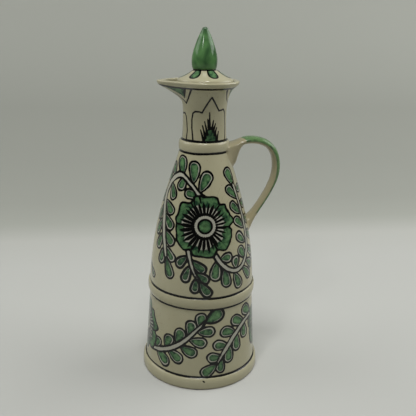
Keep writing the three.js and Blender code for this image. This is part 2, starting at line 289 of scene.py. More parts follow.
# %% Lute the handle on
def lute(strap, wall, gap):
    """Press, smear and wipe a strap that stops short of a wall by a gap."""
    surface = BVHTree.FromPolygons(
        [v.co / MM for v in wall.data.vertices], [list(face.vertices) for face in wall.data.polygons]
    )
    moved, soft = {}, []
    for vertex in strap.data.vertices:
        place, upper = vertex.co / MM, vertex.co.z > MID_HANDLE * MM
        by_collar = upper and place.x < PRESS_START
        if by_collar:
            press(place, vertex.normal)
            moved[vertex.index] = place * MM
        _, facing, _, away = surface.find_nearest(place)
        if by_collar and away > WIPED:
            soft.append(vertex.index)
        reach = UPPER_SMEAR if upper else LOWER_SMEAR
        if away > reach:
            continue
        close = 1 - (away - gap) / (reach - gap)
        place = smeared(place, vertex.normal, facing, reach, close, upper)
        foot, facing, _, _ = surface.find_nearest(place)
        moved[vertex.index] = (foot + facing * ((1 - close) * reach - UNDER_SKIN * close)) * MM
    for index, place in moved.items():
        strap.data.vertices[index].co = place
    sponge(strap, soft)
    print(strap.name, "has", len(moved), "points pressed or smeared, and", len(soft), "wiped")


lute(handle, body, gap=0.3)

# %% [markdown]
# ## The brushwork
#
# The painter outlines each shape in black and fills it with green. An image could carry that, but it
# would blur when seen close. Here each point of the mesh stores a few distances in millimetres, and the
# glaze material turns them into crisp edges at any size:
#
# - outline: to the edge of the nearest shape, with less than nothing inside it. The black line runs along
#   that edge.
# - ink: to the nearest stroke of solid black.
# - green: to the nearest patch of green.
# - flower: across and up from the middle of the nearest big flower, whose fine rays the material draws.

# %% What a painted piece remembers
FAR = 50.0  # a distance that stands for none
SKIN_DEPTH = 1.5  # a point this far inside the outline is still on the outer wall
rng = np.random.default_rng(11)  # the unsteadiness of the painter's hand


class Painted:
    """A round piece seen as an unrolled sheet: angle from the front, and distance up its wall."""

    def __init__(self, piece, levels=(0.0, 300.0), radii=(20.0, 20.0)):
        self.piece = piece
        places = np.empty(len(piece.data.vertices) * 3)
        piece.data.vertices.foreach_get("co", places)
        self.at = places.reshape(-1, 3) / MM
        normals = np.empty_like(places)
        piece.data.vertices.foreach_get("normal", normals)
        self.normal = normals.reshape(-1, 3)
        self.radius = np.hypot(self.at[:, 0], self.at[:, 1])
        self.angle = np.degrees(np.arctan2(self.at[:, 0], -self.at[:, 1]))
        self.levels, self.radii = levels, radii
        self.lengths = np.concatenate([[0], np.cumsum(np.hypot(np.diff(levels), np.diff(radii)))])
        self.outside = self.radius > np.interp(self.at[:, 2], levels, radii) - SKIN_DEPTH
        self.outline = np.full(len(self.at), FAR)
        self.ink = np.full(len(self.at), FAR)
        self.green = np.full(len(self.at), FAR)
        self.flower = np.tile([FAR, FAR, 0.0], (len(self.at), 1))

    def flat(self, angle, height, middle):
        """Millimetres across and up the unrolled wall, from a middle given as angle and height."""
        radius = np.interp(height, self.levels, self.radii)
        turned = (np.asarray(angle) - middle[0] + 180) % 360 - 180
        up = np.interp(height, self.levels, self.lengths) - np.interp(middle[1], self.levels, self.lengths)
        return np.radians(turned) * radius, up

    def near(self, middle, reach):
        """The points of the outer wall that lie within reach of a middle, and where they are from it."""
        across, up = self.flat(self.angle, self.at[:, 2], middle)
        close = np.flatnonzero((np.hypot(across, up) < reach) & self.outside)
        return close, across[close], up[close]

    def cover(self, points, edge, green):
        """Paint an outlined shape over whatever lies under it."""
        under = self.outline[points]
        beside = np.where(under < 0, -np.minimum(-under, edge), np.minimum(under, edge))
        self.outline[points] = np.where(edge < 0, edge, beside)
        self.ink[points] = np.maximum(self.ink[points], -edge)
        self.green[points] = np.minimum(np.maximum(self.green[points], -edge), green)

    def add_ink(self, points, stroke):
        """Paint solid black where a stroke's distance is less than nothing."""
        self.ink[points] = np.minimum(self.ink[points], stroke)

    def keep(self):
        """Store the painting on the piece's own points."""
        for name in ("outline", "ink", "green"):
            field = self.piece.data.attributes.new(name, "FLOAT", "POINT")
            field.data.foreach_set("value", getattr(self, name).astype(np.float32))
        field = self.piece.data.attributes.new("flower", "FLOAT_VECTOR", "POINT")
        field.data.foreach_set("vector", self.flower.astype(np.float32).ravel())


# %% [markdown]
# A leaf is a drop, which is what a loaded brush leaves when it is set down, pressed and lifted. A stem or
# a stroke is the distance to a bent line.

# %% Shapes the brush makes
FULLNESS = 0.68  # less makes the flanks of a drop fuller


def drop(x, y, length, half):
    """Distance to a drop along y: a point at its root, full flanks, and a round end 2 * half wide."""
    belly = length - half
    share = np.clip(y / belly, 0, 1)
    flank = np.abs(x) - half * np.sin(np.pi / 2 * share) ** FULLNESS
    flank = flank * np.interp(share, (0, 1), (belly / math.hypot(belly, half), 1))
    round_end = np.hypot(x, y - belly) - half
    return np.where(y > belly, round_end, np.where(y < 0, np.hypot(x, y), flank))


def to_line(x, y, line):
    """Distance to a bent line, and how far along it the nearest place is."""
    best, share = np.full(len(x), FAR), np.zeros(len(x))
    for i, (start, end) in enumerate(zip(line, line[1:])):
        leg = end - start
        t = np.clip(((x - start[0]) * leg[0] + (y - start[1]) * leg[1]) / (leg @ leg), 0, 1)
        away = np.hypot(x - start[0] - t * leg[0], y - start[1] - t * leg[1])
        share = np.where(away < best, (i + t) / (len(line) - 1), share)
        best = np.minimum(best, away)
    return best, share


def curve_through(places, steps=6):
    """A smooth line through a few places."""
    places = np.array(places, float)
    bends = np.gradient(places, axis=0)
    line = [places[:1]]
    for i in range(len(places) - 1):
        line.append(bent(places[i], places[i + 1], bends[i], bends[i + 1], (np.arange(steps) + 1) / steps))
    return np.vstack(line)


# %% A leaf
INK_HALF = 0.78  # half the width of the black line round a shape
CREAM_MARGIN = 0.6  # cream left between the black line and the green at a leaf's tip
LEAF_REACH = 24  # no leaf is longer
LEAF_BEND = 2.4  # how far a leaf may curve to either side
MARGIN_RANGE, MARGIN_LEAN = (0.6, 1.5), 0.9  # from leaf to leaf, and from one side of a leaf to the other
MARGIN_AT_ROOT = 0.15


def leaf(sheet, root, tip, width, pool, line):
    """A green drop with a cream margin and a black outline, from root to tip, each (angle, height).

    Green that is stored as no deeper than pool stays as dark as at its edge. A wide line is gone over twice.
    """
    points, across, up = sheet.near(root, LEAF_REACH)
    tip_across, tip_up = sheet.flat(*tip, root)
    whole = math.hypot(tip_across, tip_up)
    lean_x, lean_y = tip_across / whole, tip_up / whole
    length, half = whole - INK_HALF, width / 2 - INK_HALF
    x, y = across * lean_y - up * lean_x, across * lean_x + up * lean_y
    share = np.clip(y / length, 0, 1)
    x = x + rng.uniform(-LEAF_BEND, LEAF_BEND) * share * (1 - share)
    edge = drop(x, y, length, half)
    margin = CREAM_MARGIN * rng.uniform(*MARGIN_RANGE) * (MARGIN_AT_ROOT + share)
    margin = margin * (1 + rng.uniform(-MARGIN_LEAN, MARGIN_LEAN) * x / half)
    sheet.cover(points, edge, np.maximum(edge + INK_HALF + margin, -pool))
    if line > INK_HALF:
        sheet.add_ink(points, np.abs(edge) - line)


# %% Several leaves
HANDLE_ROOTS = ((90, 172, 45, 18), (90, 121, 20, 10))  # angle, height, and how far each spreads both ways


def meets_handle(angle, height):
    """Whether a place on the body's wall is under one of the handle's roots, or close beside it."""
    return any(math.hypot((angle - middle) / wide, (height - level) / tall) < 1
               for middle, level, wide, tall in HANDLE_ROOTS)


def leaves(sheet, turned, *places, pool=FAR, line=INK_HALF):
    """Leaves, each (root angle, root height, tip angle, tip height, width), turned round to their side.

    The far side's leaves stop at the handle's roots, as the strap was on before the painter began.
    """
    for root_angle, root, tip_angle, tip, width in places:
        if turned and meets_handle(tip_angle + turned, tip):
            continue
        leaf(sheet, (root_angle + turned, root), (tip_angle + turned, tip), width, pool, line)


# %% Stems
STEM_SPAN = 75  # no stem reaches further from its middle
BESIDE_STEM = 8  # points further from a stem than this stay as they are


def stem(sheet, turned, places, widths=(2.3, 1.5)):
    """A cream stem between two black lines, through places given as (angle, height).

    The widths are those of the cream, evenly spread from one end to the other.
    """
    line = curve_through([(angle + turned, height) for angle, height in places])
    middle = line[len(line) // 2]
    points, across, up = sheet.near(middle, STEM_SPAN)
    away, share = to_line(across, up, np.column_stack(sheet.flat(line[:, 0], line[:, 1], middle)))
    close = away < BESIDE_STEM
    half = np.interp(share[close], np.linspace(0, 1, len(widths)), widths) / 2 + INK_HALF
    sheet.cover(points[close], away[close] - half, FAR)


# %% [markdown]
# The big flower has six petals, each begun where the last one ends. No two are alike, because the
# painter works round by eye: each reaches out its own way and dips in its own place. The rays reach
# further toward one side, because the eye was not set quite in the middle of them.

# %% The big flower
FLOWER_RADIUS = 22.0  # the size that the other numbers of the flower belong to
PETAL_EDGE = (  # degrees from the right-hand side, and how far the petals reach there
    (-180, 22.0), (-166, 22.6), (-149, 24.4), (-134, 24.0),
    (-121, 20.4), (-111, 22.9), (-96, 22.1), (-76, 23.1),
    (-62, 19.9), (-47, 24.1), (-26, 22.9), (-13, 21.6),
    (-5, 19.2), (6, 22.9), (21, 20.5), (33, 19.8), (44, 20.9),
    (55, 18.8), (69, 22.0), (88, 21.1), (107, 22.3),
    (122, 19.5), (141, 23.5), (160, 21.7), (171, 22.9), (180, 22.0),
)
NOTCHES = (-180, -121, -62, -5, 55, 122)  # where one petal ends and the next begins
PARTING_HALF = 0.7  # half the width of the black line that parts two petals
EYE, RAYS_START = 4.6, 9.0
RAYS_LEAN, RAYS_TOWARD = 0.12, math.radians(-140)
CREAM_END, CREAM_LEAN = 15.2, 1.7  # how far out the cream between the rays ends, and how much it leans
CREAM_WAVES = ((0.9, 7), (0.6, 17))  # how deep its edge waves, and how often in a round
GREEN_FADE = 0.35  # the green begins softly there
PETALS_WITHIN = 1.35  # no petal reaches further than this many times the flower's radius


def petal_outline(theta):
    """How far the petals reach at each angle, with a smooth swell from one place to the next."""
    angles, reaches = np.array(PETAL_EDGE, float).T
    after = np.clip(np.searchsorted(angles, theta), 1, len(angles) - 1)
    share = (theta - angles[after - 1]) / (angles[after] - angles[after - 1])
    return reaches[after - 1] + (reaches[after] - reaches[after - 1]) * (1 - np.cos(np.pi * share)) / 2


def flower(sheet, angle, height, radius):
    """A big flower with its middle at an angle and a height."""
    points, across, up = sheet.near((angle, height), radius * PETALS_WITHIN)
    scale = radius / FLOWER_RADIUS
    x, y = across / scale, up / scale
    rho, theta = np.hypot(x, y), np.degrees(np.arctan2(y, x))
    slope = np.radians(1) * rho
    steepness = (petal_outline((theta + 181) % 360 - 180) - petal_outline(theta)) / slope
    edge = (rho - petal_outline(theta)) / np.hypot(1, steepness)
    cream_end = CREAM_END + CREAM_LEAN * np.cos(np.radians(theta) - RAYS_TOWARD)
    for depth, waves in CREAM_WAVES:
        cream_end = cream_end + depth * np.sin(np.radians(waves * theta))
    green = np.minimum(rho - EYE, np.maximum(edge, (cream_end - rho) * GREEN_FADE))
    sheet.cover(points, edge * scale, green * scale)
    for notch in NOTCHES:
        off = np.radians((theta - notch + 180) % 360 - 180) * rho
        between = np.maximum(RAYS_START - rho, rho - petal_outline(theta))
        parting = np.maximum(np.abs(off) - PARTING_HALF, between)
        sheet.add_ink(points, parting * scale)
    sheet.flower[points] = np.column_stack([x, y, np.ones(len(x))])


# %% Single strokes
STROKE_SPAN = 34  # no stroke reaches further from its middle


def strokes(sheet, *lines, half=0.62):
    """Brush lines, each a list of (angle, height), as wide as half says, or from half[0] to half[1]."""
    half = half if isinstance(half, tuple) else (half, half)
    for line in lines:
        line = np.array(line, float)
        middle = line.mean(axis=0)
        points, across, up = sheet.near(middle, STROKE_SPAN)
        away, share = to_line(across, up, np.column_stack(sheet.flat(line[:, 0], line[:, 1], middle)))
        sheet.add_ink(points, away - np.interp(share, (0, 1), half))


# %% [markdown]
# ## Painting the body
#
# The body has two painted walls, above and below the raised band. One big flower faces each side, and
# leafy stems curl round it. The far side repeats the near side, as a decorator works round a jug. Each
# spray is a list of leaves and then the stem that is drawn over their roots.

# %% The body as a sheet
rim_of_body = int(np.argmax(body_points[:, 1]))
body_sheet = Painted(body, body_points[1:rim_of_body, 1], body_points[1:rim_of_body, 0])

# %% The spray that curls over the flower
for side in (0, 180):
    leaves(
        body_sheet, side,
        (-13, 150.5, 3.5, 165, 10.4), (-24.5, 156, -28.5, 171.8, 9.8), (-47.5, 161, -66, 174, 10.0),
        (-69, 159.5, -90, 167.5, 8.4), (-75, 154, -98, 160, 8.0), (-80, 147, -96, 137.5, 8.4),
        (-76, 137, -86, 124, 8.6), (-69, 127.5, -79, 113.5, 8.6), (-62.5, 117.5, -71, 103.8, 8.6),
        (-57, 107.5, -60.8, 94, 8.6),
        (-16, 147.5, -39, 149.6, 8.6), (-43, 159.5, -49.5, 149.5, 9.0), (-70, 153.5, -55, 142, 8.4),
        (-72, 140.5, -50, 132.5, 8.8), (-66, 131, -47, 121.5, 9.2), (-60, 119.5, -42.5, 110.5, 9.2),
        (-54, 109, -39.5, 98.7, 8.6), (-51.5, 101, -42.5, 85.2, 9.2),
    )
    stem(
        body_sheet, side,
        [(-9, 146), (-15, 149), (-25, 154), (-41, 159.2), (-53, 160.7), (-65, 158.5), (-76, 153.5),
         (-80.5, 146), (-78, 139.5), (-70, 130.5), (-62.7, 119.1), (-57, 110), (-52.5, 101.5)],
        widths=(2.8, 0.8, 1.4, 3.0, 3.2, 3.3, 3.1, 2.6, 1.2),
    )

# %% The spray that runs under the flower and up beside it
for side in (0, 180):
    leaves(
        body_sheet, side,
        (13, 103, 29.5, 103.5, 9.0), (33, 94, 34, 104, 8.6), (49.5, 99, 39.5, 109.5, 9.0),
        (53.5, 110.5, 37.5, 119.6, 9.0), (54, 121, 36.5, 130.6, 8.6), (53.5, 132, 34.5, 142.2, 8.8),
        (52.5, 143, 31, 153.6, 8.8), (51.5, 152.5, 39, 166.5, 9.8),
        (10.7, 103, 6.5, 86.3, 10.0), (18.5, 97, 21.5, 80.5, 9.4), (30, 91, 39, 77.3, 9.4),
        (43.5, 93.5, 59.5, 81.5, 8.6), (51, 97, 69, 89.5, 8.4), (57, 106, 73, 98, 8.4),
        (59, 117, 76, 110.5, 8.4), (59, 128, 77, 123, 8.4), (58, 139, 77, 136, 8.4),
        (55.5, 149, 75, 149, 8.0),
    )
    stem(
        body_sheet, side,
        [(4, 109), (7, 106.5), (14, 99.5), (24, 94), (35, 92.2), (45, 95), (53, 101.5), (57.5, 110),
         (58.5, 121), (57.5, 132), (55, 143), (51, 153)],
    )

# %% The short sprig under the flower, the buds below the lip, and the flower itself
FLOWER_PLACE = (-4.5, 127)

for side in (0, 180):
    leaves(
        body_sheet, side,
        (-24, 105, -36.5, 96, 8.4), (-20.5, 98.5, -27, 85, 8.2), (-13, 89.5, -15.5, 77.2, 8.0),
        (-20.5, 102.5, -3, 93.5, 8.4), (-14.5, 93, 0.5, 86, 8.0), (-9.5, 86.5, 2.5, 75.2, 8.8),
        pool=0.7, line=0.98,
    )
    leaves(body_sheet, side, (-81, 86.8, -69.5, 80.5, 7.0), (-96, 89, -98.5, 77.5, 7.4))
    stem(
        body_sheet, side, [(-23.5, 110), (-22.7, 107), (-20, 100.5), (-16, 93.5), (-10, 87)],
        widths=(2.3, 0.2),
    )
    stem(body_sheet, side, [(-112, 95), (-104, 93), (-94, 89.8), (-82, 87.2)], widths=(1.6, 0.2))
    flower(body_sheet, FLOWER_PLACE[0] + side, FLOWER_PLACE[1], radius=FLOWER_RADIUS)
    for start, end in (((-21.5, 146.8), (-20, 142.5)), ((-13, 147), (-10.5, 143))):
        strokes(body_sheet, [(start[0] + side, start[1]), (end[0] + side, end[1])], half=(0.9, 0.4))
print("upper wall painted")

# %% The lower wall
SIDE_FLOWERS, SIDE_HEIGHT, SIDE_RADIUS = (-89, 87), 38.5, 21.5  # one below the lip, one below the handle

for side in (0, 180):
    leaves(
        body_sheet, side,
        (-59.5, 26, -54.5, 35, 9.2), (-46, 29, -38.5, 41.2, 10.2), (-32, 35, -27.5, 48.8, 10.4),
        (-19.5, 43, -16.8, 56.4, 10.0), (-8, 50, -6, 62.8, 9.6),
        (-58.5, 23.5, -40.8, 14.8, 11.4), (-42, 28, -25.2, 20.8, 10.8), (-28, 33.5, -10, 28.2, 10.4),
        (-18.7, 40, 0, 37.2, 9.8), (-10.5, 46.5, 8.4, 47.6, 9.8),
    )
    leaves(body_sheet, side, (-2, 54.5, 17, 63.3, 11.6), line=1.1)
    stem(
        body_sheet, side,
        [(-68, 22.5), (-55, 25), (-41, 29.5), (-29, 35.5), (-19, 42.5), (-9, 50.5), (-3, 55)],
        widths=(1.7, 2.5, 2.5, 1.5, 0.2),
    )
    leaves(
        body_sheet, side,
        (61, 51.5, 42, 60, 10.8), (46, 47.5, 25.5, 54.5, 10.4), (32, 42, 12.5, 46.3, 10.4),
        (22, 33.5, 4.6, 36.4, 9.8), (15, 25.5, -1.5, 26, 9.8), (9, 19.5, -6.5, 10.6, 10.6),
        (45, 46.5, 47, 33.5, 9.8), (33.5, 41, 34, 26, 9.6), (24, 33, 22.5, 18.4, 9.6),
        (15, 24, 13.5, 11.4, 8.6), (57, 49, 62, 38, 8.8),
    )
    stem(
        body_sheet, side,
        [(66, 50.5), (51, 49.3), (41, 46), (31, 40.5), (23, 34), (16, 27), (10, 20)],
        widths=(1.8, 2.2, 2.7, 2.2, 0.3),
    )
for angle in SIDE_FLOWERS:
    flower(body_sheet, angle, SIDE_HEIGHT, radius=SIDE_RADIUS)
print("lower wall painted")


# %% [markdown]
# The lines round the jug are drawn while it turns on a banding wheel, with the brush held still. The
# wheel runs nearly true, so a line sways only a little.

# %% A line round a piece
def line_round(sheet, level, half=0.75, sway=0.16):
    """A black line painted while the piece turns, with the small sway of a hand."""
    turned = np.radians(sheet.angle)
    swing = sway * (np.sin(2 * turned + level) + 0.6 * np.sin(5 * turned + 2 * level))
    points = np.flatnonzero(sheet.outside)
    sheet.add_ink(points, (np.abs(sheet.at[:, 2] - level - swing) - half)[points])


# %% Lines round the body
FOOT_LINE, BAND_LINES, COLLAR_LINE = 9.9, (64.4, 74.0), 176.4
NECK_RING = 17.3  # the black line round the neck's foot spreads this far over the collar

for level in (FOOT_LINE, *BAND_LINES):
    line_round(body_sheet, level)
line_round(body_sheet, COLLAR_LINE, half=0.95)
neck_low, neck_high = (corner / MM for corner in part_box("neck_with_pouring_lip"))
neck_foot = neck_low[2]
ledge = np.flatnonzero((body_sheet.at[:, 2] > neck_foot - 0.6) & (body_sheet.radius < NECK_RING + 1.5))
body_sheet.add_ink(ledge, body_sheet.radius[ledge] - NECK_RING)

# %% A speck of black that the brush dropped on the foot
DROPPED, SPECK_RADIUS = (-3.6, 7.2), 0.75
DRAWN_OUT, SLANT = 0.7, 0.4  # it landed a little longer than wide, and slanting

points, across, up = body_sheet.near(DROPPED, 4 * SPECK_RADIUS)
body_sheet.add_ink(points, np.hypot(across * DRAWN_OUT, up + SLANT * across) - SPECK_RADIUS)
body_sheet.keep()

# %% [markdown]
# ## Painting the neck
#
# Three arched panels stand on the collar, each with a small green flame whose strokes fan upward. A
# black line follows the underside of the rim and the lip, and a pointed leaf hangs from it between each
# two panels.

# %% The neck as a sheet
NECK_RADIUS, BORE_CLEAR = 16.2, 14.2  # the sheet's own radius, and one that is well outside the bore
RIM_HEIGHT = 4.3  # from the rim's top down to the black line under it
LIP_EDGE = 25.0  # the rim is round out to here, and what is further out is the lip

rim_line = neck_high[2] - RIM_HEIGHT
neck_sheet = Painted(neck, (neck_foot - 1, neck_high[2]), (NECK_RADIUS, NECK_RADIUS))
faces_out = (neck_sheet.normal[:, :2] * neck_sheet.at[:, :2]).sum(axis=1) > 0
neck_sheet.outside = faces_out & (neck_sheet.radius > BORE_CLEAR)

# %% Arched panels with a flame in each
PANELS = ((8.2, 0), (128.2, 1.5), (-110, 3.4))  # each one's angle, and how much lower it was drawn
PANEL_HALVES = (  # each a brush line of (angle from the panel's middle, height)
    [(-45, 184), (-47.5, 189), (-50.5, 194), (-51, 200), (-48, 204.6), (-41, 206), (-30, 206),
     (-23, 205.4), (-0.5, 216.4)],
    [(-0.5, 216.4), (22.5, 206.6), (33, 207), (40, 207.2), (46, 205), (49, 201), (52, 195),
     (50, 189), (48, 184)],
)
FLAME_STROKES = (  # (root angle, root height, tip angle, tip height)
    (-17.5, 185.5, -25.8, 193.3), (-13, 187.8, -21.2, 196.5), (-8, 190, -15.9, 199.3),
    (-4.4, 194, -8.5, 200.9), (-2, 194, -3.6, 205.6), (3.5, 194, 7.8, 200),
    (7, 192, 13.3, 197.7), (10.8, 189.6, 17.1, 194.8), (17.8, 185.5, 22.5, 192),
)
FLAME_STROKE = (0.95, 0.45)  # half its width at the root and at the tip
FLAME_HALF, FLAME_HEIGHT, FLAME_POOL = 4.6, 11.5, 0.4
FLAME_LINED = 7  # a black line follows the flame's edge up to this height over the neck's foot
FLAME_LINE = 0.75  # half the width of that line
FLAME_WITHIN = 16  # nothing of the flame is further than this from the middle of its foot

for middle, lower in PANELS:
    for panel_half in PANEL_HALVES:
        line = [(middle + angle, height - lower * (height > neck_foot + 1)) for angle, height in panel_half]
        strokes(neck_sheet, line)
    for base_angle, base, tip_angle, tip in FLAME_STROKES:
        strokes(neck_sheet, [(middle + base_angle, base), (middle + tip_angle, tip)], half=FLAME_STROKE)
    points, across, up = neck_sheet.near((middle, neck_foot), FLAME_WITHIN)
    flame = (np.hypot(across / FLAME_HALF, up / FLAME_HEIGHT) - 1) * FLAME_HALF
    neck_sheet.green[points] = np.minimum(neck_sheet.green[points], np.maximum(flame, -FLAME_POOL))
    lined = (up > 0) & (up < FLAME_LINED)
    neck_sheet.add_ink(points, np.where(lined, np.abs(flame) - FLAME_LINE, FAR))
line_round(neck_sheet, neck_foot + 0.5, half=0.8, sway=0.12)

# %% The line under the rim
LIP_RISE = 1.0  # the line climbs this much on its way to the lip's tip
RIM_LINE_HALF = 0.72

to_lip_tip = np.clip((neck_sheet.radius - LIP_EDGE) / (neck_sheet.radius.max() - LIP_EDGE), 0, 1)
under_rim = np.flatnonzero(neck_sheet.outside)
from_line = np.abs(neck_sheet.at[:, 2] - rim_line - LIP_RISE * to_lip_tip)
neck_sheet.add_ink(under_rim, (from_line - RIM_LINE_HALF)[under_rim])

# %% The leaves that hang from it between the panels
HANGING = (-61, 69, -172)
LEAF_OUTLINE = ((26, 221.5), (11, 215), (0.5, 211), (-12, 214), (-30, 221.5))
LEAF_RIB, RIB_FOOT = (12.5, 221.5), 215.2
LEAF_LINE = 0.55
GREEN_UP_TO = 7  # above the rib's foot
GREEN_SIDES = ((0.88, -0.5), (-0.75, -0.65))  # which way each side of the green faces, across and up

for middle in HANGING:
    strokes(neck_sheet, [(middle + angle, height) for angle, height in LEAF_OUTLINE], half=LEAF_LINE)
    strokes(neck_sheet, [(middle + LEAF_RIB[0], LEAF_RIB[1]), (middle, RIB_FOOT)], half=LEAF_LINE)
    points, across, up = neck_sheet.near((middle, RIB_FOOT), 2 * GREEN_UP_TO)
    wedge = np.maximum(*(facing_x * across + facing_y * up for facing_x, facing_y in GREEN_SIDES))
    neck_sheet.green[points] = np.minimum(neck_sheet.green[points], np.where(up < GREEN_UP_TO, wedge, FAR))
neck_sheet.green = np.where(neck_sheet.at[:, 2] > rim_line, FAR, neck_sheet.green)
neck_sheet.keep()
print("neck painted")

# %% [markdown]
# ## Painting the lid, the knob and the handle
#
# Six green petals lie round the knob like the leaves of a bud, and a black line closes its foot. The
# knob is dipped in green. The handle's outer face has one long stroke of green, which starts in a point
# over the arch and laps round the strap's edges, less and less toward the lower root. So it is painted by
# how far each point faces out of the grip. COVERED holds, by the angle round the grip, how far out a
# point has to face to be green.

# %% The lid's petals
PETAL_ROOT, PETAL_HALF, PETAL_INK = 6.0, 3.2, 0.62  # the root is measured from the knob's axis
LID_PETALS = ((-98, 12.0), (-39, 10.2), (21, 10.2), (79, 12.4), (141, 11.0), (201, 11.4))  # bearing, length
KNOB_LINE = 0.6  # the black line round the knob's foot spreads this far over the lid

lid_sheet = Painted(lid)
out_x, out_y = lid_sheet.at[:, 0] - knob_middle[0], lid_sheet.at[:, 1] - knob_middle[1]
from_knob, bearing = np.hypot(out_x, out_y), np.degrees(np.arctan2(out_x, -out_y))
on_dome = lid_sheet.at[:, 2] > lid_face_level
for middle, length in LID_PETALS:
    turned = np.radians(bearing - middle)
    along = from_knob * np.cos(turned) - PETAL_ROOT
    edge = drop(from_knob * np.sin(turned), along, length, PETAL_HALF)
    points = np.flatnonzero(on_dome & (np.cos(turned) > 0))
    lid_sheet.green[points] = np.minimum(lid_sheet.green, edge)[points]
    lid_sheet.add_ink(points, (np.abs(edge) - PETAL_INK)[points])
knob_foot = knob_outline[1][0]
points = np.flatnonzero(on_dome)
lid_sheet.add_ink(points, from_knob[points] - knob_foot - KNOB_LINE)
lid_sheet.keep()

# %% The knob
GREEN_ALL_OVER = -3.0
LINE_UP_KNOB = 0.9  # the same line climbs this far up the knob

knob_sheet = Painted(knob)
knob_sheet.green[:] = GREEN_ALL_OVER
knob_sheet.ink = knob_sheet.at[:, 2] - knob_low[2] - LINE_UP_KNOB
knob_sheet.keep()

# %% The handle's green stroke
GRIP_MIDDLE = (36.0, 158.0)  # out and up, in the middle of the gap for the fingers
STRIPE_START, STRIPE_END = 27.5, 127.0  # how far out it begins over the arch, and how low it ends
COVERED = ((-85, -0.1), (-30, -0.08), (-12, -0.15), (5, -0.34), (60, -0.4), (100, -0.3))
TURNED_AWAY = 3  # millimetres of the stroke's edge for one unit of the strap's turning away
POINT_LENGTH, POINT_WIDENS = 4, 2.2

handle_sheet = Painted(handle)
outward = handle_sheet.at[:, [0, 2]] - GRIP_MIDDLE
round_grip = np.degrees(np.arctan2(outward[:, 1], outward[:, 0]))
outward /= np.linalg.norm(outward, axis=1)[:, None]
faces_out = (handle_sheet.normal[:, [0, 2]] * outward).sum(axis=1)
stripe = (np.interp(round_grip, *zip(*COVERED)) - faces_out) * TURNED_AWAY
from_start = handle_sheet.at[:, 0] - STRIPE_START
point = np.abs(handle_sheet.at[:, 1]) - np.clip(from_start, 0, POINT_LENGTH) * POINT_WIDENS
over_arch = handle_sheet.at[:, 2] > GRIP_MIDDLE[1]
stripe = np.where(over_arch, np.maximum(stripe, np.maximum(point, -from_start)), stripe)
handle_sheet.green = np.maximum(stripe, STRIPE_END - handle_sheet.at[:, 2])
handle_sheet.keep()
print("lid, knob and handle painted")


# %% [markdown]
# ## The glaze
#
# Slip, underglaze colours and a clear glaze are fired together into one glassy skin. One material could
# be made for each colour, but they meet along brushed edges, so each material holds them all and reads
# the stored distances to know which one shows. The slip is a warm cream with faint clouds and iron
# specks. The shapes were laid in with a whiter slip, the green is a thin wash that pools darker at the
# edge of a stroke, and the black is dense. The clear glaze makes all of it smooth, with a soft
# orange-peel skin, and it is wiped off the foot, where the jug stood in the kiln.

# %% Colours and the node helper
def colour(hex_code):
    """An sRGB hex colour as the linear values that the shader wants."""
    parts = [int(hex_code[i:i + 2], 16) / 255 for i in (1, 3, 5)]
    return [c / 12.92 if c <= 0.04045 else ((c + 0.055) / 1.055) ** 2.4 for c in parts] + [1]


def add(tree, kind, settings=None, **inputs):
    """One node with its settings. Each input, by name or as i and its number, gets a value or a link."""
    node = tree.nodes.new("ShaderNode" + kind)
    for name, value in (settings or {}).items():
        setattr(node, name, value)
    for name, value in inputs.items():
        socket = node.inputs[int(name[1:]) if name[1:].isdigit() else name.replace("_", " ")]
        if isinstance(value, bpy.types.NodeSocket):
            tree.links.new(value, socket)
        else:
            socket.default_value = value
    return node


def per_mm(size):
    """The scale of a pattern on Object coordinates, from the size of its features in millimetres."""
    return 1 / (size * MM)


# %% The black of the big flowers, drawn from the place on the flower
RAYS = 29
RAY_WIDTHS = (  # how far out, and half the ray's width there
    (7.4, 0.0), (7.9, 1.0), (9.4, 1.0), (10.2, 0.82), (13.0, 1.0), (15.0, 0.95), (18.4, 0.0),
)
RAY_REACH = 20.0  # these widths are kept in a colour ramp, which ends this far out
LESS_TO_THE_RIGHT, LOADED = -0.24, 0.9  # the brush is fuller on the left
FROM_RAY_TO_RAY = 0.5  # how much the brush's load changes
RING_OUT, RING_HALF = 0.35, 0.75  # the ring round the eye


